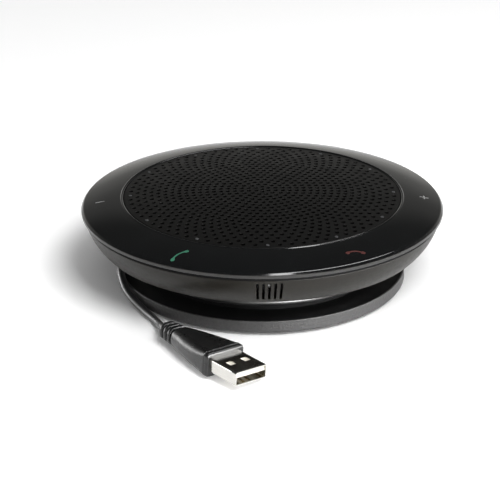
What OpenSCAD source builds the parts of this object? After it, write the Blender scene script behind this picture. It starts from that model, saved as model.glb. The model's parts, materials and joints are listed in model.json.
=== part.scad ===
// Conference speakerphone: a round desk unit with a touch ring around a perforated
// speaker dome, a bowl casing on a cord-storage neck, and a captive cord with a plug.
// Millimetres, +Z up, the front faces -Y, and the foot stands on z = 0.

/* [Touch ring and grille] */
// Widest diameter, across the touch ring
ring_d = 120; // [112:1:146]
// Height of the upright edge below the ring's bevel
ring_side_h = 1.4; // [1:0.1:3]
// Height of the bevel between the upright edge and the top face
ring_bevel_h = 0.75; // [0.4:0.05:1.5]
// Fall of the ring's top face from the grille to the bevel
ring_fall = 2.55; // [1.5:0.05:3.5]
// Radius of the ring's top face, seen in section
ring_crown_r = 70; // [50:5:200]
// Thickness of the ring's lens
lens_t = 1.6; // [1.2:0.1:2]
// Thickness of the touch film under the lens
film_t = 0.3; // [0.2:0.05:0.5]
// Diameter of the speaker grille
grille_d = 91.8; // [86:0.2:96]
// Rise of the grille's dome from its edge to its middle
grille_rise = 1.8; // [1:0.1:3]
// Thickness of the grille
grille_t = 0.8; // [0.6:0.1:1.2]
// Width of the skirt that the grille stands on
grille_skirt_w = 1.5; // [1.2:0.1:2]
// Diameter of one grille hole
grille_hole_d = 1.3; // [0.8:0.1:1.4]
// Step between two circles of grille holes
grille_pitch = 2.3; // [2.1:0.1:3]
// Most holes in one circle
grille_circle_max = 72; // [72:12:84]
// One circle of holes in this many is drilled, counted in from the rim
open_step = 6; // [3:1:9]
// Number of indicator lights around the grille
light_count = 12; // [6:6:12]

/* [Casing] */
// Height of the dark seam between the touch ring and the bowl
seam_h = 0.8; // [0.3:0.1:1.2]
// Height of the bowl's side
bowl_h = 9.4; // [9:0.2:13]
// How far the bowl's side draws in from its top to its lower edge
bowl_draw = 5.5; // [4:0.5:7]
// Radius of the bowl's side, seen in section
bowl_curve_r = 20; // [16:1:40]
// Wall of the bowl
bowl_wall = 2; // [1.6:0.1:2.4]
// Thickness of the bowl's floor
bowl_floor_t = 1.8; // [1.5:0.1:2.2]
// How far the underside of the bowl rises towards the neck
under_rise = 1.8; // [1:0.1:2.5]
// Number of microphone slots at the front
slot_count = 5; // [3:2:7]
// Width of one microphone slot
slot_w = 0.8; // [0.6:0.1:1]
// Step between two microphone slots
slot_pitch = 1.8; // [1.5:0.1:2.2]
// Height of the microphone slots
slot_h = 7; // [5:0.5:7.5]

/* [Neck and base] */
// Outer diameter of the neck that the cord winds on
neck_d = 76.4; // [74:0.2:80]
// Wall of the neck
neck_wall = 1.5; // [1.2:0.1:2]
// Diameter of the base plate
base_d = 95.6; // [92:0.2:106]
// Height of the base plate
base_h = 4.2; // [4:0.1:6]
// Thickness of the base plate's floor
base_floor_t = 1.8; // [1.5:0.1:2.2]
// Thickness of the base plate's rim
base_rim_w = 0.6; // [0.5:0.1:1]
// Thickness of the cord flange
flange_t = 1.2; // [1:0.1:1.4]
// Height of the rubber foot ring
foot_h = 1; // [0.6:0.1:1.6]
// Outer diameter of the rubber foot ring
foot_d = 89; // [84:1:91]

/* [Cord and plug] */
// Diameter of the cord
cord_d = 2.6; // [2.2:0.1:2.8]
// Turns of cord wound on the neck
cord_turns = 3.17; // [2.5:0.01:4]
// Gap between the wound cord and the bowl above it
cord_room = 0.15; // [0.1:0.05:2]
// Length of the plug's moulded grip
grip_l = 29; // [26:1:34]
// Width of the grip at its front
grip_w = 14.6; // [14:0.2:16]
// Height of the grip at its front
grip_h = 8; // [7:0.2:9]
// Width of the plug's metal shell
shell_w = 12; // [12:0.1:12]
// Height of the plug's metal shell
shell_h = 4.5; // [4.5:0.1:4.5]
// Length of the metal shell in front of the grip
shell_l = 12; // [11:0.5:13]

/* [Loudspeaker] */
// Outer diameter of the loudspeaker's flange
driver_d = 67; // [60:1:68]
// Height of the loudspeaker's magnet ring
magnet_h = 3.6; // [3:0.1:4]
// Diameter of the magnet ring
magnet_d = 35; // [30:1:38]
// Diameter of the voice coil's former
coil_d = 15.2; // [13:0.2:16]
// Travel of the diaphragm each way
cone_travel = 1.5; // [1:0.1:1.5]

/* [Fits] */
// Gap around parts that drop into each other
fit_gap = 0.1; // [0.05:0.05:0.2]
// Gap that a layer of glue fills
glue_gap = 0.02; // [0.01:0.01:0.05]
// Radial gap between a screw and the hole it bites in
thread_gap = 0.05; // [0.02:0.01:0.1]
// Radius of the larger screws' shanks
screw_r = 1.25; // [1:0.05:1.4]
// Diameter of the headset jack's bore
jack_bore_d = 3.6; // [3.5:0.05:3.7]

/* [Hidden] */
$fn = 96;
eps = 0.01;
tau = 360;

// Radii of the stacked shells
ring_r = ring_d / 2;
ring_foot_r = ring_r - 0.4;
bevel_r = ring_r - 0.7;
grille_r = grille_d / 2;
ring_in_r = grille_r + 0.15;
seam_r = ring_r - 1.1;
bowl_r = ring_r - 0.9;
bowl_low_r = bowl_r - bowl_draw;
neck_r = neck_d / 2;
neck_in_r = neck_r - neck_wall;
base_r = base_d / 2;
base_in_r = base_r - base_rim_w;
cord_r = cord_d / 2;

// Heights, from the desk up
base_z = foot_h;
base_top_z = base_z + base_floor_t;
rim_z = base_z + base_h;
flange_z = rim_z - 0.2;
shelf_z = flange_z - flange_t;
bowl_z = coil_top_z() + cord_room
    - under_rise * (bowl_low_r - neck_r - cord_d) / (bowl_low_r - neck_r);
under_z = bowl_z + under_rise;
seam_z = bowl_z + bowl_h;
deck_z = seam_z + seam_h;
side_z = deck_z + ring_side_h;
bevel_z = side_z + ring_bevel_h;
ring_in_z = bevel_z + ring_fall;
grille_z = ring_in_z - 0.1;
grille_top_z = grille_z + grille_rise;
dome_r = sphere_r(grille_r, grille_rise);
dome_centre_z = grille_top_z - dome_r;

// Chassis
deck_t = 2;
deck_low_z = deck_z - deck_t;
spigot_r = bowl_r - bowl_wall - fit_gap;
spigot_w = 1.6;
wall_in_r = grille_r - grille_skirt_w - fit_gap;
wall_out_r = wall_in_r + 2.8;
lens_seat_r = spigot_r + 0.4;
lens_low_z = bevel_z + 0.35 - lens_t;
seat_z = ring_in_z - lens_t - film_t;
shelf_low_z = lens_low_z - film_t;

// Collar under the bowl that plugs into the neck
collar_out_r = neck_in_r - fit_gap;
collar_w = 1.6;
collar_in_r = collar_out_r - collar_w;
collar_h = 3;
collar_z = under_z - collar_h;

// Larger screws, through the base into the bowl, and through the bowl into the chassis
head_r = 2.2;
head_h = 1.2;
head_gap = 0.2;
boss_r = 2.6;
lug_r = 2.2;
boss_rib_w = 3;
base_screw_r = collar_in_r - screw_r - 0.45;
base_screw_count = 4;
base_screw_turn = 45;
base_screw_top_z = under_z + 0.6;
chassis_screw_r = wall_out_r - 1.5;
chassis_screw_count = 4;
chassis_screw_turn = 65;
post_z = bowl_z + 4.4;
post_seat_z = bowl_z + 2.6;

// Loudspeaker
driver_r = driver_d / 2;
opening_r = driver_r - 2.9;
frame_r = opening_r - 0.2;
frame_t = 1;
flange_top_z = deck_z + frame_t;
well_z = deck_z - 9.6;
well_r = frame_r - 7.8;
spider_z = well_z + 3;
plate_h = 2;
plate_r = magnet_d / 2 - 1.5;
yoke_t = 1.4;
magnet_top_z = well_z - plate_h;
magnet_low_z = magnet_top_z - magnet_h;
yoke_z = magnet_low_z - yoke_t;
coil_r = coil_d / 2;
former_t = 0.3;
winding_t = 0.3;
pole_r = coil_r - former_t - 0.4;
gap_r = coil_r + winding_t + 0.4;
cone_t = 0.5;
cone_r = frame_r - 4.4;
cone_neck_z = deck_z - 3.8;
roll_r = (opening_r - cone_r) / 2 - 0.35;
roll_mid_r = (opening_r + cone_r) / 2;
skin_t = 0.4;
ear_r = 2.4;
ear_at_r = driver_r + 1;
driver_screw_r = 1.1;
driver_screw_count = 4;
driver_screw_turn = 45;
cap_r = 9.5;
cap_h = 2.2;

// Circuit boards
board_r = base_screw_r - boss_r - 1.7;
board_t = 1.2;
standoff_h = 1.6;
board_z = base_top_z + standoff_h;
board_top_z = board_z + board_t;
board_screw_at_r = board_r - 4;
board_screw_count = 3;
board_screw_shank_r = 0.9;
socket_at_r = board_r - 5;
socket_size = [4, 5, 2.5];
lead_d = 1.2;
header_at_r = socket_at_r + 1;
header_h = 4;
terminal_turn = -45;
terminal_drop = 0.8;
light_board_t = 0.8;
led_h = 0.6;
grille_circles = floor((grille_r - grille_skirt_w - grille_hole_d / 2 - 0.05) / grille_pitch);
light_r = grille_circles * grille_pitch;
led_size = [0.8, 1.6, led_h];

// Microphone
mic_r = 2;
mic_l = 2.6;
boot_w = 10;
boot_l = 4;
boot_h = 5.2;
mic_seat_z = bowl_z + 2.6;
mic_pad_z = bowl_z + bowl_floor_t - 0.1;
mic_y = -(bowl_low_r - bowl_wall - 1.7);
mic_z = mic_seat_z + boot_h / 2;
slot_z = bowl_z + 1.5;
slot_in_r = bowl_low_r - bowl_wall + 0.9;

// Headset jack
jack_turn = 25;
jack_size = [13, 6.2, 4.4];
jack_barrel_r = 2.3;
jack_mouth_r = bowl_r - 1.5;
jack_block_r = bowl_low_r - 0.2;
jack_bore_l = 14;
jack_board_t = 1;
jack_seat_z = under_z + bowl_floor_t + 0.05;
jack_z = jack_seat_z + jack_size[2] / 2;

// Cord and gland
gland_turn = 90;
gland_z = coil_top_z() - cord_r;
gland_r = 1.7;
gland_bore_r = cord_r + 0.05;
gland_flange = [6, 1, 3.8];
notch_w = 7;
ribbon_w = 8;
ribbon_t = 0.3;
ribbon_turn = 180;
ribbon_at_r = wall_out_r + 3;
ribbon_z = under_z + 3;
ribbon_drop_r = collar_in_r - 1.6;
ribbon_socket_r = board_r - 2.6;
ribbon_low_z = board_top_z + 1.4;

// Route of the free cord: off the coil, across the flange, over the rim and down
CORD_ROUTE = [
    [-34.6, 19.2, 6.4], [-36.6, 16.1, 6.4], [-38.6, 12.9, 6.4], [-40.7, 9.3, 6.4],
    [-42.7, 5.4, 6.4], [-44.4, 1.4, 6.5], [-45.8, -2.8, 6.5], [-46.7, -6.6, 6.6],
    [-47.2, -9.9, 6.5], [-46.8, -13.6, 6.1], [-46.0, -17.3, 5.2], [-44.9, -20.7, 4.2],
    [-43.3, -23.9, 3.3], [-41.3, -27.2, 2.4], [-39.1, -30.7, 1.7], [-36.9, -34.6, 1.4],
    [-35.1, -38.4, 1.4], [-34.0, -41.8, 1.8], [-33.5, -44.6, 2.7], [-33.2, -47.0, 3.7],
    [-32.6, -49.3, 4.3], [-31.6, -50.6, 4.4]
];
plug_at = [-31.6, -50.6, 4.4];
plug_turn = -52.2;
plug_roll = -4;
metal_t = 0.3;
tongue_t = 1.8;
tongue_low_z = shell_h / 2 - metal_t - tongue_t;
contact_t = 0.15;

// Top and height of the wound cord, which lies on the flange
function coil_h() = cord_d * (cord_turns + 1) + 0.1;
function coil_top_z() = flange_z + coil_h();

// Points of an arc from a to b that bulges to the right of its way, or to the left if r < 0
function arc(a, b, r, steps) =
    let (d = b - a, l = norm(d), m = (a + b) / 2, h = sign(r) * sqrt(r * r - l * l / 4),
         c = m + [-d[1], d[0]] * h / l,
         t0 = atan2(a[1] - c[1], a[0] - c[0]),
         t1 = atan2(b[1] - c[1], b[0] - c[0]),
         t2 = t1 - t0 > 180 ? t1 - 360 : (t1 - t0 < -180 ? t1 + 360 : t1))
    [for (i = [0 : steps]) let (t = t0 + (t2 - t0) * i / steps) c + abs(r) * [cos(t), sin(t)]];

// Radius of a dome's sphere, from its half width and rise, and the grille's height at r
function sphere_r(half, rise) = (half * half + rise * rise) / (2 * rise);
function dome_z(r) = dome_centre_z + sqrt(dome_r * dome_r - r * r);

// Height of the lens's underside at radius r, and of the bowl's underside
function lens_z(r) = lens_low_z
    + (seat_z + film_t - lens_low_z) * (lens_seat_r - r) / (lens_seat_r - ring_in_r);
function bowl_under_z(r) = bowl_z + under_rise * (bowl_low_r - r) / (bowl_low_r - neck_r);

// Frame of a swept tube at point i of route p: its way w, and a direction square to it and to up
function way(p, i) =
    let (a = p[max(i - 1, 0)], b = p[min(i + 1, len(p) - 1)]) (b - a) / norm(b - a);
function across(w, up) = let (s = cross(up, w)) s / norm(s);

// A tube of diameter d swept along the points of route p, which never runs along up
module tube(p, d, up = [0, 0, 1], sides = 8) {
    n = len(p);
    rings = [for (i = [0 : n - 1]) let (w = way(p, i), s = across(w, up), u = cross(w, s))
        for (k = [0 : sides - 1]) let (t = tau * k / sides) p[i] + d / 2 * (cos(t) * s + sin(t) * u)];
    sides_faces = [for (i = [0 : n - 2]) for (k = [0 : sides - 1]) let (m = (k + 1) % sides)
        [i * sides + k, (i + 1) * sides + k, (i + 1) * sides + m, i * sides + m]];
    start_face = [for (k = [0 : sides - 1]) k];
    end_face = [for (k = [sides - 1 : -1 : 0]) (n - 1) * sides + k];
    polyhedron(rings, concat(sides_faces, [start_face, end_face]), convexity = 6);
}

module ring_2d(outer, inner, z0, z1) {
    translate([inner, z0]) square([outer - inner, z1 - z0]);
}

module pipe(outer, inner, z0, z1) {
    rotate_extrude() ring_2d(outer, inner, z0, z1);
}

module disc(r, z0, z1) {
    translate([0, 0, z0]) cylinder(r = r, h = z1 - z0);
}

module around(count, turn, r) {
    for (i = [0 : count - 1]) rotate(turn + i * 360 / count) translate([r, 0, 0]) children();
}

module block(size, z) {
    translate([-size[0] / 2, -size[1] / 2, z]) cube(size);
}

// A screw with its head down and its shank pointing up
module screw(shank_r, head, head_z, head_t, top_z) {
    disc(head, head_z, head_z + head_t);
    disc(shank_r, head_z + head_t - eps, top_z);
}

module touch_ring() {
    top = arc([bevel_r, bevel_z], [ring_in_r, ring_in_z], ring_crown_r, 10);
    color("#15171a") rotate_extrude($fn = 180) polygon(concat(
        [[lens_seat_r, deck_z], [ring_foot_r, deck_z], [ring_r, deck_z + 0.5], [ring_r, side_z]],
        top,
        [[ring_in_r, seat_z + film_t], [lens_seat_r, lens_low_z]]));
}

module touch_film() {
    in_r = ring_in_r + 0.3;
    out_r = lens_seat_r - 0.3;
    color("#b9813a") rotate_extrude() polygon([
        [in_r, lens_z(in_r) - film_t + glue_gap], [out_r, lens_z(out_r) - film_t + glue_gap],
        [out_r, lens_z(out_r) - glue_gap], [in_r, lens_z(in_r) - glue_gap]]);
}

// Holes in circles, each square to the dome, so they point at the dome's own centre
module grille_holes() {
    for (k = [grille_circles : -open_step : 1])
        let (count = min(6 * k, grille_circle_max), lead = ((grille_circles - k) % 2) / 2)
        for (i = [0 : count - 1])
            rotate([0, asin(k * grille_pitch / dome_r), -90 + 360 * (i + lead) / count])
                translate([0, 0, dome_r - grille_t - 1])
                    cylinder(r = grille_hole_d / 2, h = grille_t + 2, $fn = 24);
}

module speaker_grille() {
    color("#26282b") difference() {
        rotate_extrude($fn = 180) difference() {
            intersection() {
                translate([0, dome_centre_z]) circle(r = dome_r, $fn = 360);
                ring_2d(grille_r, 0, seat_z, grille_top_z + 1);
            }
            intersection() {
                translate([0, dome_centre_z]) circle(r = dome_r - grille_t, $fn = 360);
                ring_2d(grille_r - grille_skirt_w, 0, seat_z - 1, grille_top_z + 1);
            }
        }
        translate([0, 0, dome_centre_z]) grille_holes();
    }
}
module acoustic_mesh() {
    out_r = light_r - grille_hole_d / 2 - 0.5;
    mesh_t = 0.3;
    top_r = dome_r - grille_t - glue_gap;
    color("#0c0d0f") rotate_extrude($fn = 180) intersection() {
        difference() {
            translate([0, dome_centre_z]) circle(r = top_r, $fn = 360);
            translate([0, dome_centre_z]) circle(r = top_r - mesh_t, $fn = 360);
        }
        ring_2d(out_r, 0, seat_z, grille_top_z);
    }
}

module upper_chassis() {
    pillar_hole_r = screw_r + thread_gap;
    color("#1b1c1e") difference() {
        union() {
            rotate_extrude() polygon([
                [opening_r, deck_low_z], [opening_r, deck_z], [wall_in_r, deck_z],
                [wall_in_r, seat_z], [ring_in_r, seat_z], [lens_seat_r - fit_gap, shelf_low_z],
                [lens_seat_r - fit_gap, deck_z], [seam_r, deck_z], [seam_r, seam_z],
                [spigot_r, seam_z], [spigot_r, deck_low_z], [spigot_r - spigot_w, deck_low_z],
                [spigot_r - spigot_w, shelf_low_z - deck_t], [wall_out_r, seat_z - 2.2],
                [wall_out_r, deck_low_z]]);
            around(chassis_screw_count, chassis_screw_turn, chassis_screw_r)
                disc(boss_r, post_z, deck_low_z + eps);
            around(driver_screw_count, driver_screw_turn, ear_at_r)
                disc(driver_screw_r + 1.2, deck_low_z - 1.8, deck_low_z + eps);
        }
        around(chassis_screw_count, chassis_screw_turn, chassis_screw_r)
            disc(pillar_hole_r, post_z - 1, deck_low_z + 1.2);
        around(driver_screw_count, driver_screw_turn, ear_at_r)
            disc(driver_screw_r + thread_gap, deck_low_z - 3, deck_z + 1);
        around(1, ribbon_turn, ribbon_at_r)
            block([ribbon_t + 0.8, ribbon_w + 1, seat_z], deck_low_z - 1);
    }
}

module lower_casing() {
    inner_low = [bowl_low_r - bowl_wall, bowl_under_z(bowl_low_r - bowl_wall) + bowl_floor_t];
    rebate = [bowl_r - bowl_wall, deck_low_z - 0.3];
    color("#3b3835") difference() {
        union() {
            rotate_extrude($fn = 180) polygon(concat(
                arc([bowl_low_r, bowl_z], [bowl_r, seam_z], bowl_curve_r, 12),
                [[bowl_r - bowl_wall, seam_z]],
                arc(rebate, inner_low, -bowl_curve_r + bowl_wall, 12),
                [[collar_in_r, under_z + bowl_floor_t], [collar_in_r, collar_z],
                 [collar_out_r, collar_z], [collar_out_r, under_z], [neck_r, under_z]]));
            around(base_screw_count, base_screw_turn, base_screw_r)
                disc(lug_r, collar_z, under_z + bowl_floor_t);
            around(chassis_screw_count, chassis_screw_turn, chassis_screw_r)
                disc(boss_r + 0.6, under_z - 0.2, post_z);
            translate([0, mic_y, 0]) block([boot_w + 1, boot_l, mic_seat_z - mic_pad_z], mic_pad_z);
            around(1, jack_turn, jack_block_r - jack_size[0] / 2)
                block([jack_size[0] - 1, jack_size[1], jack_seat_z - mic_pad_z], mic_pad_z);
        }
        around(base_screw_count, base_screw_turn, base_screw_r)
            disc(screw_r + thread_gap, collar_z - 1, base_screw_top_z + 0.4);
        around(chassis_screw_count, chassis_screw_turn, chassis_screw_r) {
            disc(head_r + head_gap, 0, post_seat_z);
            disc(screw_r + head_gap, 0, post_z + 1);
        }
        rotate(-90) for (i = [0 : slot_count - 1])
            translate([slot_in_r, (i - (slot_count - 1) / 2) * slot_pitch - slot_w / 2, slot_z])
                cube([bowl_draw + 8, slot_w, slot_h]);
        rotate(jack_turn) translate([jack_block_r - 1, 0, jack_z]) rotate([0, 90, 0])
            cylinder(r = jack_barrel_r + fit_gap, h = bowl_wall + 6);
        rotate(gland_turn) translate([collar_in_r - 1, -notch_w / 2, collar_z - 1])
            cube([collar_w + 2, notch_w, collar_h + 1]);
    }
}

module neck_drum() {
    boss_top_z = collar_z - fit_gap;
    rib_start_r = base_screw_r + boss_r - 0.7;
    rib_l = neck_in_r + 0.7 - rib_start_r;
    slot_half = gland_r + fit_gap;
    color("#0e0e0f") difference() {
        union() {
            pipe(neck_r, neck_in_r, base_top_z, under_z);
            around(base_screw_count, base_screw_turn, base_screw_r)
                disc(boss_r, base_top_z, boss_top_z);
            around(base_screw_count, base_screw_turn, rib_start_r + rib_l / 2)
                block([rib_l, boss_rib_w, boss_top_z - base_top_z - 0.8], base_top_z + 0.4);
        }
        around(base_screw_count, base_screw_turn, base_screw_r)
            disc(screw_r + head_gap, 0, under_z);
        rotate(gland_turn) translate([neck_in_r - 2, -slot_half, gland_z - slot_half])
            cube([neck_wall + 4, 2 * slot_half, coil_h()]);
    }
}

module cord_flange() {
    color("#0e0e0f") pipe(base_in_r - fit_gap, neck_r + fit_gap, shelf_z, flange_z);
}

module base_plate() {
    edge = 0.5;
    color("#4a4a4b") difference() {
        union() {
            rotate_extrude($fn = 180) polygon([
                [0, base_z], [base_r - edge, base_z], [base_r, base_z + edge], [base_r, rim_z],
                [base_in_r, rim_z], [base_in_r, shelf_z], [neck_r + 0.3, shelf_z],
                [neck_r + 0.3, base_top_z], [0, base_top_z]]);
            around(board_screw_count, 0, board_screw_at_r) disc(2, base_top_z - eps, board_z);
        }
        around(base_screw_count, base_screw_turn, base_screw_r) {
            disc(head_r + head_gap, 0, base_z + head_h);
            disc(screw_r + head_gap, 0, base_top_z + 1);
        }
        around(board_screw_count, 0, board_screw_at_r)
            disc(board_screw_shank_r + thread_gap, base_z + 0.6, board_z + 1);
    }
}

module foot_ring() {
    color("#18181a") pipe(foot_d / 2, base_screw_r - head_r - 1.5, 0, foot_h);
}

module base_screws() {
    color("silver") around(base_screw_count, base_screw_turn, base_screw_r)
        screw(screw_r, head_r, base_z, head_h, base_screw_top_z);
}

module chassis_screws() {
    color("silver") around(chassis_screw_count, chassis_screw_turn, chassis_screw_r)
        screw(screw_r, head_r, post_seat_z - head_h, head_h, deck_low_z + 0.6);
}

module cord_gland() {
    seat_r = sqrt(neck_in_r * neck_in_r - gland_flange[0] * gland_flange[0] / 4) - glue_gap;
    color("#101011") rotate(gland_turn) difference() {
        union() {
            translate([neck_in_r - 1, 0, gland_z]) rotate([0, 90, 0])
                cylinder(r = gland_r, h = neck_wall + 1);
            translate([seat_r - gland_flange[1], -gland_flange[0] / 2, gland_z - gland_r - 0.6])
                cube([gland_flange[1], gland_flange[0], gland_flange[2]]);
        }
        translate([neck_in_r - 3, 0, gland_z]) rotate([0, 90, 0])
            cylinder(r = gland_bore_r, h = neck_wall + 6);
    }
}

module light_board() {
    color("#1f5a36") pipe(wall_in_r - 0.3, ear_at_r + ear_r + 1.1, deck_z, deck_z + light_board_t);
}

module indicator_leds() {
    color("white") around(light_count, -90, light_r - 0.2) block(led_size, deck_z + light_board_t);
}

module light_pipes() {
    color("#dfe6ea") around(light_count, -90, light_r)
        disc(grille_hole_d / 2 - fit_gap, deck_z + light_board_t + led_h, dome_z(light_r) + 0.05);
}

module driver_basket() {
    hub_r = gap_r + 0.3;
    hub_t = 0.8;
    ledge_r = well_r - 4;
    color("#2a2b2d") difference() {
        union() {
            rotate_extrude() polygon([
                [driver_r, flange_top_z], [driver_r, deck_z], [frame_r, deck_z],
                [well_r + 1, well_z + 2], [well_r, well_z], [hub_r, well_z],
                [hub_r, well_z + hub_t], [ledge_r, well_z + hub_t], [ledge_r, spider_z],
                [well_r + 0.6, spider_z], [frame_r - 0.9, flange_top_z - 0.4],
                [frame_r - 0.9, flange_top_z]]);
            around(driver_screw_count, driver_screw_turn, ear_at_r)
                disc(ear_r, deck_z, flange_top_z);
            around(1, terminal_turn, well_r + 0.4) block([1.3, 5, 1.6], well_z + 0.2);
        }
        around(driver_screw_count, driver_screw_turn, ear_at_r)
            disc(driver_screw_r + 0.15, deck_z - 1, flange_top_z + 1);
        around(4, 0, frame_r - 4) block([12, frame_r * 0.7, 4.4], spider_z + 0.9);
    }
}

module driver_yoke() {
    color("#8a8d90") union() {
        disc(plate_r - 0.5, yoke_z, magnet_low_z);
        disc(pole_r, magnet_low_z - eps, well_z + 0.2);
    }
}

module driver_magnet() {
    color("#3a3a3d") pipe(magnet_d / 2, gap_r + 1.2, magnet_low_z, magnet_top_z);
}

module driver_top_plate() {
    color("#8a8d90") pipe(plate_r, gap_r, magnet_top_z, well_z);
}

module voice_coil() {
    former_low_z = magnet_low_z + cone_travel + 0.5;
    color("#b06a2c") union() {
        pipe(coil_r, coil_r - former_t, former_low_z, cone_neck_z + 0.8);
        pipe(coil_r + winding_t, coil_r - former_t / 2, former_low_z + 0.4, spider_z - 1.6);
    }
}

module speaker_cone() {
    flat_w = 1.2;
    neck = coil_r + glue_gap;
    color("#17181a") rotate_extrude() polygon([
        [neck, cone_neck_z], [cone_r - flat_w, flange_top_z - cone_t],
        [cone_r, flange_top_z - cone_t], [cone_r, flange_top_z],
        [cone_r - flat_w, flange_top_z], [neck, cone_neck_z + cone_t]]);
}

module dust_cap() {
    cap_sphere_r = sphere_r(cap_r, cap_h);
    slope = (flange_top_z - cone_neck_z - cone_t) / (cone_r - 1.2 - coil_r);
    rim = cone_neck_z + cone_t + slope * (cap_r - coil_r) + 0.03;
    color("#202124") rotate_extrude() intersection() {
        difference() {
            translate([0, rim + cap_h - cap_sphere_r]) circle(r = cap_sphere_r);
            translate([0, rim + cap_h - skin_t - cap_sphere_r]) circle(r = cap_sphere_r);
        }
        ring_2d(cap_r, 0, rim, rim + cap_h + 1);
    }
}

module cone_surround() {
    land_r = opening_r + 1.6;
    color("#111112") rotate_extrude() union() {
        intersection() {
            translate([roll_mid_r, flange_top_z]) difference() {
                circle(r = roll_r);
                circle(r = roll_r - skin_t);
            }
            ring_2d(land_r, coil_r, flange_top_z, flange_top_z + roll_r + 1);
        }
        ring_2d(roll_mid_r - roll_r + skin_t, cone_r - 1.2, flange_top_z, flange_top_z + skin_t);
        ring_2d(land_r, roll_mid_r + roll_r - skin_t, flange_top_z, flange_top_z + skin_t);
    }
}

module spider() {
    land_in_r = well_r - 3.8;
    waves = 4;
    steps = 8 * waves;
    swing = 0.35;
    mid_z = spider_z + swing;
    line = [for (i = [0 : steps]) let (t = i / steps)
        [coil_r + (land_in_r - coil_r) * t, mid_z - swing * cos(360 * waves * t)]];
    color("#c9a052") rotate_extrude() polygon(concat(line, [[well_r + 0.2, spider_z],
        [well_r + 0.2, spider_z + skin_t]], [for (i = [steps : -1 : 0]) line[i] + [0, skin_t]]));
}

module driver_gasket() {
    low_z = flange_top_z + skin_t;
    color("#0d0d0e") pipe(opening_r + 1.6, opening_r - 0.2, low_z, low_z + 0.8);
}

module driver_screws() {
    color("silver") around(driver_screw_count, driver_screw_turn, ear_at_r)
        mirror([0, 0, 1]) screw(driver_screw_r, 1.9, -flange_top_z - 0.9, 0.9, -deck_low_z + 1.4);
}

module driver_terminals() {
    color("#c8a24a") around(1, terminal_turn, well_r + 1.7) block([1.2, 8, 3], well_z - terminal_drop);
}

module speaker_leads() {
    at_r = well_r + 1.8;
    start_z = well_z - terminal_drop - glue_gap;
    color("#a02020") rotate(terminal_turn) for (side = [-1.5, 1.5])
        tube([[at_r, side, start_z], [at_r, side, start_z - 0.8], [at_r + 0.7, side, start_z - 2.2],
              [at_r + 1, side, (well_z + board_top_z) / 2],
              [socket_at_r + 0.4, side, board_top_z + 4], [socket_at_r, side, board_top_z + 3.4],
              [socket_at_r, side, board_top_z + socket_size[2]]], 0.9, up = [0, 1, 0]);
}

module main_board() {
    color("#1f5a36") difference() {
        disc(board_r, board_z, board_top_z);
        around(board_screw_count, 0, board_screw_at_r)
            disc(board_screw_shank_r + head_gap, 0, board_top_z + 1);
    }
}

module board_screws() {
    color("silver") around(board_screw_count, 0, board_screw_at_r)
        mirror([0, 0, 1]) screw(board_screw_shank_r, 1.8, -board_top_z - 0.8, 0.8, -base_z - 0.9);
}

module processor_chip() {
    color("#151515") translate([-8, -2, 0]) block([9, 9, 0.9], board_top_z);
}

module amplifier_chip() {
    color("#151515") translate([8, -8, 0]) block([5, 5, 0.9], board_top_z);
}

module shield_can() {
    size = [14, 11, 1.9];
    can_t = 0.2;
    color("silver") translate([6, 6, 0]) difference() {
        block(size, board_top_z);
        block(size - [2 * can_t, 2 * can_t, can_t], board_top_z - eps);
    }
}

module board_capacitors() {
    color("#23324a") for (turn = [62, 152, 208])
        around(1, turn, board_r - 5.6) disc(2.5, board_top_z, board_top_z + 5);
}

module usb_header() {
    color("ivory") around(1, gland_turn, header_at_r) block([4, 8, header_h], board_top_z);
}

module lead_sockets() {
    color("ivory") for (turn = [-90, terminal_turn, jack_turn])
        around(1, turn, socket_at_r) block(socket_size, board_top_z);
}

module ribbon_cable() {
    drop_top = lens_z(ribbon_at_r) - film_t;
    color("#b9813a") rotate(ribbon_turn) translate([0, -ribbon_w / 2, 0]) union() {
        translate([ribbon_at_r, 0, ribbon_z]) cube([ribbon_t, ribbon_w, drop_top - ribbon_z - 0.1]);
        translate([ribbon_drop_r, 0, ribbon_z])
            cube([ribbon_at_r - ribbon_drop_r + ribbon_t, ribbon_w, ribbon_t]);
        translate([ribbon_drop_r, 0, ribbon_low_z])
            cube([ribbon_t, ribbon_w, ribbon_z - ribbon_low_z + ribbon_t]);
        translate([ribbon_socket_r, 0, ribbon_low_z])
            cube([ribbon_drop_r - ribbon_socket_r, ribbon_w, ribbon_t]);
    }
}

module ribbon_socket() {
    color("ivory") around(1, ribbon_turn, ribbon_socket_r - 2.5)
        block([5, ribbon_w + 1.5, 2.3], board_top_z);
}

module mic_boot() {
    back_y = mic_y + boot_l / 2;
    front_y = mic_y - boot_l / 2;
    nose = 2.8;
    color("#141415") difference() {
        translate([-boot_w / 2, 0, 0]) rotate([90, 0, 90]) linear_extrude(boot_w) polygon([
            [back_y, mic_seat_z], [front_y, mic_seat_z], [front_y - nose, mic_seat_z + nose + 0.4],
            [front_y - nose, mic_seat_z + boot_h], [back_y, mic_seat_z + boot_h]]);
        translate([0, front_y + 0.2, mic_z]) rotate([-90, 0, 0]) cylinder(r = mic_r, h = boot_l + 2);
        translate([0, front_y - nose - 1, mic_z]) rotate([-90, 0, 0])
            cylinder(r = mic_r - 0.8, h = boot_l + 2);
    }
}

module mic_capsule() {
    color("#a8abad") translate([0, mic_y - boot_l / 2 + 0.2, mic_z]) rotate([-90, 0, 0])
        cylinder(r = mic_r - 0.05, h = mic_l);
}

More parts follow.
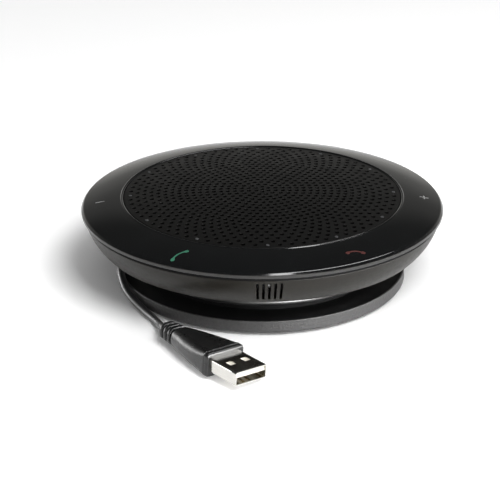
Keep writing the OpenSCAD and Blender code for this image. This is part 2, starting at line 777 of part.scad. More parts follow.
module mic_leads() {
    start_y = mic_y - boot_l / 2 + 0.2 + mic_l;
    color("#7a1f1f") tube([[0, start_y, mic_z], [0, start_y + 4, mic_z],
        [0, -collar_in_r - 3, under_z + 3.4], [0, -collar_in_r + 0.5, under_z + 2.4],
        [0, -collar_in_r + 2.2, under_z - 1], [0, -collar_in_r + 3, under_z - 5],
        [0, -socket_at_r - 0.8, board_top_z + 5], [0, -socket_at_r, board_top_z + 3.6],
        [0, -socket_at_r, board_top_z + socket_size[2]]], lead_d, up = [1, 0, 0]);
}

module headset_jack() {
    body_at_r = jack_block_r - jack_size[0] / 2;
    color("#202022") rotate(jack_turn) difference() {
        union() {
            translate([body_at_r, 0, 0]) block(jack_size, jack_seat_z);
            translate([jack_block_r - 1, 0, jack_z]) rotate([0, 90, 0])
                cylinder(r = jack_barrel_r, h = jack_mouth_r - jack_block_r + 1);
        }
        translate([jack_mouth_r - jack_bore_l, 0, jack_z]) rotate([0, 90, 0])
            cylinder(r = jack_bore_d / 2, h = jack_bore_l + 1);
    }
}

module jack_board() {
    color("#1f5a36") around(1, jack_turn, jack_block_r - jack_size[0] - jack_board_t / 2)
        block([jack_board_t, jack_size[1] + 2, jack_size[2]], jack_seat_z);
}

module jack_leads() {
    start_r = jack_block_r - jack_size[0] - jack_board_t;
    color("#303030") rotate(jack_turn) tube([
        [start_r, 0, jack_z], [start_r - 2.5, 0, jack_z], [collar_in_r - 1, 0, jack_z - 1.2],
        [collar_in_r - 2.6, 0, under_z - 1], [collar_in_r - 3.4, 0, under_z - 5],
        [socket_at_r + 0.8, 0, board_top_z + 5], [socket_at_r, 0, board_top_z + 3.6],
        [socket_at_r, 0, board_top_z + socket_size[2]]], lead_d, up = [0, 1, 0]);
}

module cord_tail() {
    header_top_z = board_top_z + header_h;
    color("#141415") rotate(gland_turn) tube([
        [neck_r, 0, gland_z], [neck_r - 1.6, 0, gland_z], [collar_in_r - 1, 0, gland_z],
        [collar_in_r - 3.4, 0, gland_z - 0.5], [collar_in_r - 5.6, 0, gland_z - 1.5],
        [header_at_r + 1.2, 0, header_top_z + 2.5], [header_at_r, 0, header_top_z + 1],
        [header_at_r, 0, header_top_z]], cord_d, up = [0, 1, 0]);
}

module cord_coil() {
    inner = neck_r + 0.05;
    color("#141415") pipe(inner + cord_d, inner, flange_z, coil_top_z());
}

module cord_lead() {
    color("#141415") tube(CORD_ROUTE, cord_d);
}

module at_plug() {
    translate(plug_at) rotate([0, 0, plug_turn]) rotate([plug_roll, 0, 0]) children();
}

// A slice of the grip at distance x from its rear, with rounded corners
module slice(x, w, h, t = 0.6) {
    corner = h * 0.36;
    translate([x, 0, 0]) rotate([90, 0, 90]) linear_extrude(t)
        offset(r = corner, $fn = 32) square([w - 2 * corner, h - 2 * corner], center = true);
}

module plug_grip() {
    rib_w = 6.4;
    rib_h = 5.4;
    rib_step = 2.2;
    color("#1a1a1c") at_plug() union() {
        for (i = [0 : 2]) slice(i * rib_step, rib_w + i * 0.5, rib_h + i * 0.2, 1.4);
        rotate([0, 90, 0]) cylinder(r = rib_h / 2 - 0.7, h = 3 * rib_step);
        hull() {
            slice(3 * rib_step, grip_w * 0.54, grip_h * 0.74);
            slice(grip_l * 0.45, grip_w * 0.76, grip_h * 0.88);
        }
        hull() {
            slice(grip_l * 0.45, grip_w * 0.76, grip_h * 0.88);
            slice(grip_l * 0.74, grip_w * 0.95, grip_h);
        }
        hull() {
            slice(grip_l * 0.74, grip_w * 0.95, grip_h);
            slice(grip_l - 1.2, grip_w, grip_h);
            slice(grip_l - 0.2, grip_w - 1.2, grip_h - 1.2, 0.2);
        }
    }
}

module plug_shell() {
    hole = [2.4, 2];
    color("gainsboro") at_plug() translate([grip_l, -shell_w / 2, -shell_h / 2]) difference() {
        cube([shell_l, shell_w, shell_h]);
        translate([-1, metal_t, metal_t])
            cube([shell_l + 2, shell_w - 2 * metal_t, shell_h - 2 * metal_t]);
        for (side = [-1, 1])
            translate([shell_l * 0.38, shell_w / 2 + side * 2.8 - hole[1] / 2, -1])
                cube([hole[0], hole[1], shell_h + 2]);
    }
}

module plug_tongue() {
    color("ivory") at_plug()
        translate([grip_l, -shell_w / 2 + metal_t + 0.1, tongue_low_z])
            cube([shell_l - 0.5, shell_w - 2 * metal_t - 0.2, tongue_t]);
}

module plug_contacts() {
    pin_step = 2.3;
    color("gold") at_plug() for (i = [-1.5 : 1.5])
        translate([grip_l + 1.5, i * pin_step - 0.5, tongue_low_z - contact_t])
            cube([shell_l - 2.8, 1, contact_t]);
}

touch_ring();
touch_film();
speaker_grille();
acoustic_mesh();
upper_chassis();
lower_casing();
neck_drum();
cord_flange();
base_plate();
foot_ring();
base_screws();
chassis_screws();
cord_gland();
light_board();
indicator_leds();
light_pipes();
driver_basket();
driver_yoke();
driver_magnet();
driver_top_plate();
voice_coil();
speaker_cone();
dust_cap();
cone_surround();
spider();
driver_gasket();
driver_screws();
driver_terminals();
speaker_leads();
main_board();
board_screws();
processor_chip();
amplifier_chip();
shield_can();
board_capacitors();
usb_header();
lead_sockets();
ribbon_cable();
ribbon_socket();
mic_boot();
mic_capsule();
mic_leads();
headset_jack();
jack_board();
jack_leads();
cord_tail();
cord_coil();
cord_lead();
plug_grip();
plug_shell();
plug_tongue();
plug_contacts();
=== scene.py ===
"""Conference speakerphone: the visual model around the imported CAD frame.

The object's lengths are in millimetres and go through MM on their way to Blender. The camera's
reach, the floor's size and the lamps' lengths are in metres.
"""

import json
from math import atan2, cos, hypot, pi, radians, sin, sqrt

import bmesh
import bpy
from mathutils import Matrix, Vector
from mathutils.geometry import delaunay_2d_cdt


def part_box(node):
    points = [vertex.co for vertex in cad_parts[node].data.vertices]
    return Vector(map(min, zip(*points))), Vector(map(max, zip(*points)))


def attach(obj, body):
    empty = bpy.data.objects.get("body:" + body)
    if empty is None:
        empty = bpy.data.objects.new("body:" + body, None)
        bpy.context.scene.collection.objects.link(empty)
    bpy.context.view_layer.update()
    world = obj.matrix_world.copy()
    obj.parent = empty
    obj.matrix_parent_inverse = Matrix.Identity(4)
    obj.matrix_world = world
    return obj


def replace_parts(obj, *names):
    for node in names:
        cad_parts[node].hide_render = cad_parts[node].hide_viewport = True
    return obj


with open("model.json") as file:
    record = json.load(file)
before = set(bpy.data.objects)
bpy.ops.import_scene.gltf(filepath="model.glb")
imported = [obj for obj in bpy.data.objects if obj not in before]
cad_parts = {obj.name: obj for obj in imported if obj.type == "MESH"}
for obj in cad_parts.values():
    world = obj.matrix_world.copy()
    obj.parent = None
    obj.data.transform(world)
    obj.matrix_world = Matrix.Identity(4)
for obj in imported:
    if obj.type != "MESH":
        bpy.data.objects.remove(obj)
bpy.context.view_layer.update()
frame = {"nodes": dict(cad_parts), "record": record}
MM = 0.001
BODY = "chassis"
SEGMENTS = 240


def cad(node):
    """Lowest and highest corner of a CAD node, in millimetres."""
    low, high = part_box(node)
    return low / MM, high / MM


# ---------------------------------------------------------------- camera
def way_to(azimuth, elevation):
    """The direction from the object to a camera or lamp, from degrees. Azimuth 0 is the front, 90 the
    right."""
    turn, lift = radians(azimuth), radians(elevation)
    return Vector((sin(turn) * cos(lift), -cos(turn) * cos(lift), sin(lift)))


def add_camera():
    """The photograph's view: direction, reach, lens and shift were fitted to the round outlines."""
    target = Vector((0, 0, 16)) * MM
    reach = 0.62114
    offset = way_to(-2.2, 22.51)
    data = bpy.data.cameras.new("Camera")
    data.sensor_width = 36
    data.lens = 133.54
    data.shift_x = -0.02438
    data.shift_y = -0.03724
    data.clip_start = 0.01
    camera = bpy.data.objects.new("Camera", data)
    bpy.context.scene.collection.objects.link(camera)
    camera.location = target + offset * reach
    camera.rotation_euler = (-offset).to_track_quat("-Z", "Y").to_euler()
    bpy.context.scene.camera = camera


add_camera()


# ---------------------------------------------------------------- materials
def add_node(tree, kind, inputs=None, **settings):
    """A shader node. An input is linked if its value is a socket, and otherwise set to the value."""
    made = tree.nodes.new("ShaderNode" + kind)
    for name, value in settings.items():
        setattr(made, name, value)
    for name, value in (inputs or {}).items():
        if isinstance(value, bpy.types.NodeSocket):
            tree.links.new(value, made.inputs[name])
        else:
            made.inputs[name].default_value = value
    return made


def pattern(tree, kind, scale, detail=2.0, stretch=(1, 1, 1)):
    """A 0 to 1 value that varies over the surface; scale is in repeats per metre."""
    place = add_node(tree, "TexCoord").outputs["Object"]
    shape = add_node(tree, "Mapping", {"Vector": place, "Scale": stretch}).outputs["Vector"]
    if kind == "cells":
        return add_node(tree, "TexVoronoi", {"Vector": shape, "Scale": scale}).outputs["Distance"]
    if kind == "weave":
        bands = [add_node(tree, "TexWave", {"Vector": shape, "Scale": scale, "Distortion": 0.4},
                          bands_direction=direction).outputs["Fac"] for direction in ("X", "Y")]
        return add_node(tree, "Math", dict(enumerate(bands)), operation="MAXIMUM").outputs[0]
    return add_node(tree, "TexNoise",
                    {"Vector": shape, "Scale": scale, "Detail": detail}).outputs["Fac"]


def spread(tree, value, low, high):
    """Maps the middle of a pattern to low..high."""
    return add_node(tree, "MapRange", {"Value": value, "From Min": 0.3, "From Max": 0.7,
                                       "To Min": low, "To Max": high}).outputs["Result"]


def distance_out(tree):
    """The surface's distance from the Z axis, in metres."""
    place = add_node(tree, "TexCoord").outputs["Object"]
    flat = add_node(tree, "VectorMath", {0: place, 1: (1, 1, 0)}, operation="MULTIPLY")
    return add_node(tree, "VectorMath", {0: flat.outputs["Vector"]},
                    operation="LENGTH").outputs["Value"]


def add_rim(tree, rim, tint, dullness):
    """Another colour and roughness outside a radius about Z, past a narrow blend."""
    radius, color, rough = rim
    blend = 0.05
    outside = add_node(tree, "MapRange", {
        "Value": distance_out(tree), "From Min": (radius - blend) * MM,
        "From Max": (radius + blend) * MM}).outputs["Result"]
    both = add_node(tree, "Mix", {"Factor": outside, "A": tint, "B": (*color, 1)}, data_type="RGBA")
    dull = add_node(tree, "Mix", {"Factor": outside, "A": dullness, "B": rough})
    return both.outputs["Result"], dull.outputs["Result"]


def material(name, color, rough, vary=0.12, rough_vary=0.06, patch=90, grain=None, metallic=0.0,
             specular=0.5, stretch=(1, 1, 1), transmission=0.0, rim=None):
    """A finish with uneven colour and gloss. grain is (kind, repeats per metre, depth in mm), and
    rim is (radius in mm, colour, roughness) of a band outside that radius."""
    made = bpy.data.materials.new(name)
    made.use_nodes = True
    tree = made.node_tree
    shader = tree.nodes["Principled BSDF"]
    shader.inputs["Metallic"].default_value = metallic
    shader.inputs["Specular IOR Level"].default_value = specular
    shader.inputs["Transmission Weight"].default_value = transmission
    dark, pale = ([min(c * share, 1) for c in color] + [1] for share in (1 - vary, 1 + vary))
    patches = pattern(tree, "noise", patch, 4.0, stretch)
    tint = add_node(tree, "Mix", {"Factor": spread(tree, patches, 0, 1), "A": dark, "B": pale},
                    data_type="RGBA").outputs["Result"]
    gloss = pattern(tree, "noise", patch * 2.3, 3.0, stretch)
    dullness = spread(tree, gloss, max(rough - rough_vary, 0.02), min(rough + rough_vary, 1))
    if rim:
        tint, dullness = add_rim(tree, rim, tint, dullness)
    tree.links.new(tint, shader.inputs["Base Color"])
    tree.links.new(dullness, shader.inputs["Roughness"])
    if grain:
        kind, scale, depth = grain
        height = pattern(tree, kind, scale, 2.0, stretch)
        bump = add_node(tree, "Bump", {"Strength": 1.0, "Distance": depth * MM, "Height": height})
        tree.links.new(bump.outputs["Normal"], shader.inputs["Normal"])
    return made


# Outside this radius the ring's lens ends in a lighter, rougher edge band
RING_BAND_R = 59.85
FINISHES = {
    "gloss_black": dict(color=(0.0056, 0.0060, 0.0062), rough=0.1, rough_vary=0.02, patch=60,
                        specular=0.55, rim=(RING_BAND_R, (0.022, 0.0215, 0.0205), 0.3)),
    "grille_black": dict(color=(0.0032, 0.0031, 0.0030), rough=0.42, specular=0.15,
                         grain=("noise", 5200, 0.008)),
    "casing_satin": dict(color=(0.0125, 0.0112, 0.0088), rough=0.4, rough_vary=0.05, patch=400,
                         specular=0.22, grain=("noise", 3000, 0.02)),
    "base_grey": dict(color=(0.02, 0.0195, 0.0195), rough=0.48, vary=0.3, rough_vary=0.08,
                      patch=1100, grain=("noise", 1500, 0.14)),
    "black_plastic": dict(color=(0.0038, 0.0038, 0.004), rough=0.5, specular=0.08,
                          grain=("noise", 3600, 0.004)),
    "rubber_black": dict(color=(0.012, 0.012, 0.013), rough=0.7, grain=("noise", 3000, 0.02)),
    "cord_black": dict(color=(0.008, 0.008, 0.0082), rough=0.4, specular=1.0,
                       grain=("noise", 2600, 0.004)),
    "grip_black": dict(color=(0.0065, 0.0065, 0.0066), rough=0.3, grain=("noise", 4200, 0.008)),
    "plug_nickel": dict(color=(0.56, 0.55, 0.52), rough=0.13, metallic=1.0, vary=0.06, patch=300,
                        stretch=(1, 1, 8), grain=("noise", 2400, 0.003)),
    "ivory_plastic": dict(color=(0.66, 0.63, 0.55), rough=0.45, vary=0.06,
                          grain=("noise", 3600, 0.006)),
    "gold": dict(color=(0.85, 0.6, 0.2), rough=0.25, metallic=1.0, grain=("noise", 4000, 0.002)),
    "acoustic_cloth": dict(color=(0.004, 0.004, 0.0045), rough=0.9, specular=0.2,
                           grain=("weave", 700, 0.06)),
    "clear_plastic": dict(color=(0.055, 0.057, 0.06), rough=0.4, vary=0.05, transmission=0.25),
    "white_plastic": dict(color=(0.8, 0.8, 0.78), rough=0.5, vary=0.04),
    "flex_amber": dict(color=(0.45, 0.22, 0.05), rough=0.3, grain=("noise", 900, 0.01)),
    "steel": dict(color=(0.55, 0.55, 0.56), rough=0.35, metallic=1.0, grain=("noise", 3000, 0.005)),
    "board_green": dict(color=(0.01, 0.11, 0.04), rough=0.35, vary=0.25, patch=400,
                        grain=("noise", 1500, 0.01)),
    "basket_black": dict(color=(0.03, 0.03, 0.033), rough=0.5, grain=("cells", 2600, 0.02)),
    "zinc_steel": dict(color=(0.5, 0.51, 0.53), rough=0.38, metallic=1.0, vary=0.15, patch=700,
                       grain=("cells", 900, 0.006)),
    "ferrite": dict(color=(0.045, 0.045, 0.048), rough=0.6, grain=("noise", 2500, 0.03)),
    "copper": dict(color=(0.55, 0.24, 0.1), rough=0.35, metallic=1.0, stretch=(1, 1, 30),
                   grain=("noise", 120, 0.05)),
    "cone_paper": dict(color=(0.02, 0.02, 0.022), rough=0.75, grain=("noise", 1400, 0.05)),
    "spider_cloth": dict(color=(0.5, 0.33, 0.12), rough=0.85, grain=("weave", 500, 0.08)),
    "foam_black": dict(color=(0.01, 0.01, 0.01), rough=0.95, grain=("cells", 1600, 0.15)),
    "wire_red": dict(color=(0.35, 0.02, 0.02), rough=0.4, grain=("noise", 2600, 0.006)),
    "chip_black": dict(color=(0.012, 0.012, 0.013), rough=0.55, grain=("noise", 5000, 0.01)),
    "tin_plate": dict(color=(0.62, 0.62, 0.62), rough=0.3, metallic=1.0,
                      grain=("noise", 1800, 0.004)),
    "capacitor_blue": dict(color=(0.02, 0.05, 0.14), rough=0.35, grain=("noise", 1800, 0.006)),
}
MATERIALS = {name: material(name, **finish) for name, finish in FINISHES.items()}


def finish(piece, slot_name, look=None):
    """Gives a piece the material named by its record slot, or by look, and its body."""
    piece.data.materials.clear()
    piece.data.materials.append(MATERIALS[look or slot_name])
    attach(piece, BODY)
    return piece


for row in frame["record"]["subparts"]:
    node = frame["nodes"][row["node"]]
    node.data.materials.clear()
    node.data.materials.append(MATERIALS[row["material_slot"]])


# ---------------------------------------------------------------- shapes
def along(a, b, share):
    """The point that share of the way from a to b."""
    return [p + (q - p) * share for p, q in zip(a, b)]


def swing(centre, start, end, steps):
    """Points of an arc about centre. start and end are measured from the centre."""
    turn = atan2(start.x * end.y - start.y * end.x, start.dot(end))
    return [(centre.x + start.x * cos(turn * k / steps) - start.y * sin(turn * k / steps),
             centre.y + start.x * sin(turn * k / steps) + start.y * cos(turn * k / steps))
            for k in range(steps + 1)]


def rounded(points, steps=4):
    """A closed outline with its corners rounded. Each point is (x, y) or (x, y, radius)."""
    outline = []
    longest_share = 0.49
    for i, point in enumerate(points):
        radius = point[2] if len(point) > 2 else 0
        corner = Vector(point[:2])
        if radius <= 0:
            outline.append(tuple(corner))
            continue
        before = Vector(points[i - 1][:2]) - corner
        after = Vector(points[(i + 1) % len(points)][:2]) - corner
        half = before.angle(after) / 2
        slope = abs(sin(half) / cos(half))
        reach = min(radius / max(slope, 1e-6), before.length * longest_share,
                    after.length * longest_share)
        inward = (before.normalized() + after.normalized()).normalized()
        middle = corner + inward * (reach * slope / sin(half))
        outline += swing(middle, corner + before.normalized() * reach - middle,
                         corner + after.normalized() * reach - middle, steps)
    return outline


def arc_between(a, b, radius, steps):
    """Points from a to b on an arc whose centre is to the left of the way from a to b."""
    a, b = Vector(a), Vector(b)
    chord = b - a
    rise = sqrt(radius * radius - chord.length_squared / 4)
    centre = (a + b) / 2 + Vector((-chord.y, chord.x)).normalized() * rise
    return swing(centre, a - centre, b - centre, steps)


def build(name, verts, faces, sharp_angle=34, weld=0.0):
    """A mesh object from points in millimetres, smooth but for edges sharper than sharp_angle.
    Points closer than weld are merged."""
    mesh = bpy.data.meshes.new(name)
    mesh.from_pydata([Vector(v) * MM for v in verts], [], faces)
    shape = bmesh.new()
    shape.from_mesh(mesh)
    if weld:
        bmesh.ops.remove_doubles(shape, verts=shape.verts, dist=weld * MM)
    bmesh.ops.recalc_face_normals(shape, faces=shape.faces)
    for face in shape.faces:
        face.smooth = True
    for edge in shape.edges:
        if len(edge.link_faces) == 2 and edge.calc_face_angle(0) > radians(sharp_angle):
            edge.smooth = False
    shape.to_mesh(mesh)
    shape.free()
    piece = bpy.data.objects.new(name, mesh)
    bpy.context.scene.collection.objects.link(piece)
    weigh = piece.modifiers.new("Weighted normals", "WEIGHTED_NORMAL")
    weigh.keep_sharp = True
    weigh.weight = 80
    return piece


def around_z(profile, segments=SEGMENTS, closed=True, start=0.0, sweep=2 * pi):
    """Points and faces of a profile of (radius, height) turned about Z."""
    rows = len(profile)
    whole = abs(sweep - 2 * pi) < 1e-9
    columns = segments if whole else segments + 1
    verts = [(r * cos(start + sweep * j / segments), r * sin(start + sweep * j / segments), z)
             for j in range(columns) for r, z in profile]
    faces = []
    for j in range(segments):
        k = (j + 1) % columns
        for i in range(rows if closed else rows - 1):
            m = (i + 1) % rows
            faces.append((j * rows + i, k * rows + i, k * rows + m, j * rows + m))
    return verts, faces


def lathe(name, profile, segments=320):
    """A piece from a closed profile of (radius, height) turned about Z."""
    return build(name, *around_z(profile, segments))


def join(parts):
    """One list of points and faces from several."""
    verts, faces = [], []
    for more_verts, more_faces in parts:
        base = len(verts)
        verts.extend(more_verts)
        faces.extend(tuple(base + i for i in face) for face in more_faces)
    return verts, faces


def pierced(outline, inner_points, holes, bevelled, top, under, chamfer):
    """A sheet with holes. outline, holes and inner_points are flat; bevelled holds the holes' loops
    below their chamfers, point for point. top(p) places a flat point on the outer face, and
    under(p, depth) places it that deep, or on the inner face if depth is None. Returns points,
    faces, and the outline's point numbers on both faces."""
    flat = list(outline)
    edges = [(i, (i + 1) % len(outline)) for i in range(len(outline))]
    owner = [-1] * len(outline)
    for number, loop in enumerate(holes):
        first = len(flat)
        flat.extend(loop)
        owner.extend([number] * len(loop))
        edges.extend((first + i, first + (i + 1) % len(loop)) for i in range(len(loop)))
    flat.extend(inner_points)
    owner.extend([-1] * len(inner_points))
    made, _, triangles, origin, _, _ = delaunay_2d_cdt(
        [Vector(p) for p in flat], edges, [list(range(len(outline)))], 1, 1e-6)
    source = [o[0] for o in origin]
    whose = [owner[s] for s in source]
    kept = [t for t in triangles
            if whose[t[0]] < 0 or not whose[t[0]] == whose[t[1]] == whose[t[2]]]
    sunk = {}
    first = len(outline)
    for number, loop in enumerate(holes):
        for i in range(len(loop)):
            sunk[first + i] = bevelled[number][i]
        first += len(loop)
    count = len(made)
    verts = [top(p) for p in made]
    verts += [under(sunk.get(source[i], made[i]), None) for i in range(count)]
    faces = [tuple(t) for t in kept] + [tuple(count + i for i in reversed(t)) for t in kept]
    place = {s: i for i, s in enumerate(source)}
    first = len(outline)
    for number, loop in enumerate(holes):
        ring = [place[first + i] for i in range(len(loop))]
        lip = len(verts)
        verts += [under(p, chamfer) for p in bevelled[number]]
        size = len(loop)
        for i in range(size):
            k = (i + 1) % size
            faces.append((ring[i], ring[k], lip + k, lip + i))
            faces.append((lip + i, lip + k, count + ring[k], count + ring[i]))
        first += size
    rim = [place[i] for i in range(len(outline))]
    return verts, faces, rim, [count + i for i in rim]


# ---------------------------------------------------------------- cord
CORD_D = 2.6
CORD_TURNS = 3.17
TURN_STEPS = 60
GLAND_ANGLE = radians(90)
# How far inside the winding the cord starts, and its next point on the way out
GLAND_REACH, LEAD_REACH = 2.4, 1.0
# The route of the free cord, as in the CAD source
CORD_ROUTE = [
    (-34.6, 19.2, 6.4), (-36.6, 16.1, 6.4), (-38.6, 12.9, 6.4), (-40.7, 9.3, 6.4),
    (-42.7, 5.4, 6.4), (-44.4, 1.4, 6.5), (-45.8, -2.8, 6.5), (-46.7, -6.6, 6.6),
    (-47.2, -9.9, 6.5), (-46.8, -13.6, 6.1), (-46.0, -17.3, 5.2), (-44.9, -20.7, 4.2),
    (-43.3, -23.9, 3.3), (-41.3, -27.2, 2.4), (-39.1, -30.7, 1.7), (-36.9, -34.6, 1.4),
    (-35.1, -38.4, 1.4), (-34.0, -41.8, 1.8), (-33.5, -44.6, 2.7), (-33.2, -47.0, 3.7),
    (-32.6, -49.3, 4.3), (-31.6, -50.6, 4.4),
]
PLUG_AT = Vector(CORD_ROUTE[-1])
PLUG_TURN = radians(-52.2)
PLUG_ROLL = radians(-4)


def smooth_route(points, steps):
    """A denser route through the same points."""
    points = [Vector(p) for p in points]
    made = []
    for i in range(len(points) - 1):
        a, b, c, d = (points[max(i - 1, 0)], points[i], points[i + 1],
                      points[min(i + 2, len(points) - 1)])
        for k in range(steps):
            t = k / steps
            made.append(0.5 * (2 * b + (c - a) * t + (2 * a - 5 * b + 4 * c - d) * t * t
                               + (3 * b - a - 3 * c + d) * t ** 3))
    return made + [points[-1]]


def cord_line():
    """From the gland in the neck, down the winding and out along the free route."""
    coil_high = cad("cord_coil")[1]
    radius = coil_high.x - CORD_D / 2 - 0.02
    top = coil_high.z - CORD_D / 2 - 0.03
    start = Vector((cos(GLAND_ANGLE), sin(GLAND_ANGLE), 0))
    line = [start * (radius - less) + Vector((0, 0, top)) for less in (GLAND_REACH, LEAD_REACH)]
    steps = int(CORD_TURNS * TURN_STEPS)
    last_z = CORD_ROUTE[0][2]
    for i in range(2, steps):
        share = i / steps
        angle = GLAND_ANGLE + 2 * pi * CORD_TURNS * share
        line.append(Vector((radius * cos(angle), radius * sin(angle), top + (last_z - top) * share)))
    return line + smooth_route(CORD_ROUTE, 3)


def add_cord():
    """The cord as a round curve. Returns it with its start and length in metres."""
    line = cord_line()
    data = bpy.data.curves.new("cord", "CURVE")
    data.dimensions = "3D"
    data.bevel_depth = CORD_D / 2 * MM
    data.bevel_resolution = 5
    data.use_fill_caps = True
    spline = data.splines.new("POLY")
    spline.points.add(len(line) - 1)
    for point, place in zip(spline.points, line):
        point.co = (*(place * MM), 1)
    spline.use_smooth = True
    piece = bpy.data.objects.new("cord", data)
    bpy.context.scene.collection.objects.link(piece)
    finish(piece, "cord_black")
    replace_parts(piece, "cord_coil", "cord_lead")
    length = sum((b - a).length for a, b in zip(line, line[1:]))
    return piece, line[0] * MM, length * MM


cord, cord_exit, cord_length = add_cord()


# ---------------------------------------------------------------- plug
def at_plug(points):
    """From the plug's own frame, with x along the plug from the grip's rear, to the model's."""
    place = (Matrix.Translation(PLUG_AT) @ Matrix.Rotation(PLUG_TURN, 4, "Z")
             @ Matrix.Rotation(PLUG_ROLL, 4, "X"))
    return [place @ Vector(p) for p in points]


def section(width, height, corner, count=56):
    """A rounded rectangle across the plug, starting at the middle of its right side."""
    corner = min(corner, width / 2 - 0.01, height / 2 - 0.01)
    loop = []
    per_corner = count // 4
    for quarter, (sx, sy) in enumerate(((1, 1), (-1, 1), (-1, -1), (1, -1))):
        cx, cy = sx * (width / 2 - corner), sy * (height / 2 - corner)
        for k in range(per_corner):
            angle = pi / 2 * (quarter + k / (per_corner - 1))
            loop.append((cx + corner * cos(angle), cy + corner * sin(angle)))
    return loop


def loft(stations):
    """Points and faces through sections (x, width, height, corner), closed at both ends."""
    verts, faces = [], []
    for x, width, height, corner in stations:
        loop = section(width, height, corner)
        verts += [(x, y, z) for y, z in loop]
    size = len(loop)
    for i in range(len(stations) - 1):
        for k in range(size):
            m = (k + 1) % size
            faces.append((i * size + k, i * size + m, (i + 1) * size + m, (i + 1) * size + k))
    faces.append(tuple(range(size - 1, -1, -1)))
    faces.append(tuple((len(stations) - 1) * size + k for k in range(size)))
    return verts, faces


def eased(stations, step=0.5):
    """More sections between the given ones, on smooth curves."""
    made = []
    for i in range(len(stations) - 1):
        a, b, c, d = (stations[max(i - 1, 0)], stations[i], stations[i + 1],
                      stations[min(i + 2, len(stations) - 1)])
        count = max(int((c[0] - b[0]) / step), 1)
        for k in range(count):
            t = k / count
            row = [b[0] + (c[0] - b[0]) * t]
            for j in range(1, len(b)):
                m0 = (c[j] - a[j]) / max(c[0] - a[0], 1e-6) * (c[0] - b[0])
                m1 = (d[j] - b[j]) / max(d[0] - b[0], 1e-6) * (c[0] - b[0])
                row.append((2 * t ** 3 - 3 * t * t + 1) * b[j] + (t ** 3 - 2 * t * t + t) * m0
                           + (3 * t * t - 2 * t ** 3) * c[j] + (t ** 3 - t * t) * m1)
            made.append(tuple(row))
    return made + [stations[-1]]


GRIP_L, GRIP_W, GRIP_H = 29, 14.6, 8


def add_grip():
    """The moulded grip: three ribs with grooves between them, the body, and a lip at its front."""
    stations = []
    for i in range(3):
        x, width, height = i * 2.2, 6.4 + 0.5 * i, 5.4 + 0.2 * i
        for dx, less in ((0, 0.5), (0.08, 0.22), (0.28, 0), (1.12, 0), (1.32, 0.22), (1.4, 0.5)):
            stations.append((x + dx, width - less, height - less, (height - less) * 0.44))
        stations.append((x + 1.45, 4.3, 4.2, 2.05))
        stations.append((x + 2.15, 4.5 + 0.2 * i, 4.3 + 0.1 * i, 2.1))
    body = eased([(6.6, 7.3, 5.5, 2.5), (7.0, 7.9, 5.9, 2.7), (9.6, 9.3, 6.5, 3.0),
                  (13, 11.1, 7.05, 3.2), (17.5, 12.8, 7.6, 3.3), (21.5, 13.9, 7.9, 3.0),
                  (25.5, 14.45, 8.0, 2.2), (27.0, GRIP_W, GRIP_H, 1.6)])
    stations += [(6.55, 6.5, 4.9, 2.2)] + body
    stations += [(27.12, 14.56, 7.96, 1.5), (27.2, 14.3, 7.7, 1.4), (27.3, 14.16, 7.56, 1.25),
                 (27.42, 14.16, 7.56, 1.25), (27.5, 14.3, 7.7, 1.3), (27.6, 14.44, 7.84, 1.3),
                 (28.3, 14.36, 7.76, 1.3), (28.7, 14.0, 7.4, 1.2), (28.92, 13.5, 6.9, 1.1),
                 (29.0, 12.9, 6.3, 1.0)]
    verts, faces = loft(stations)
    piece = build("plug_moulding", at_plug(verts), faces, 40)
    finish(piece, "grip_black")
    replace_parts(piece, "plug_grip")
    return piece


SHELL_L, SHELL_W, SHELL_H, SHELL_T = 12, 12, 4.5, 0.3


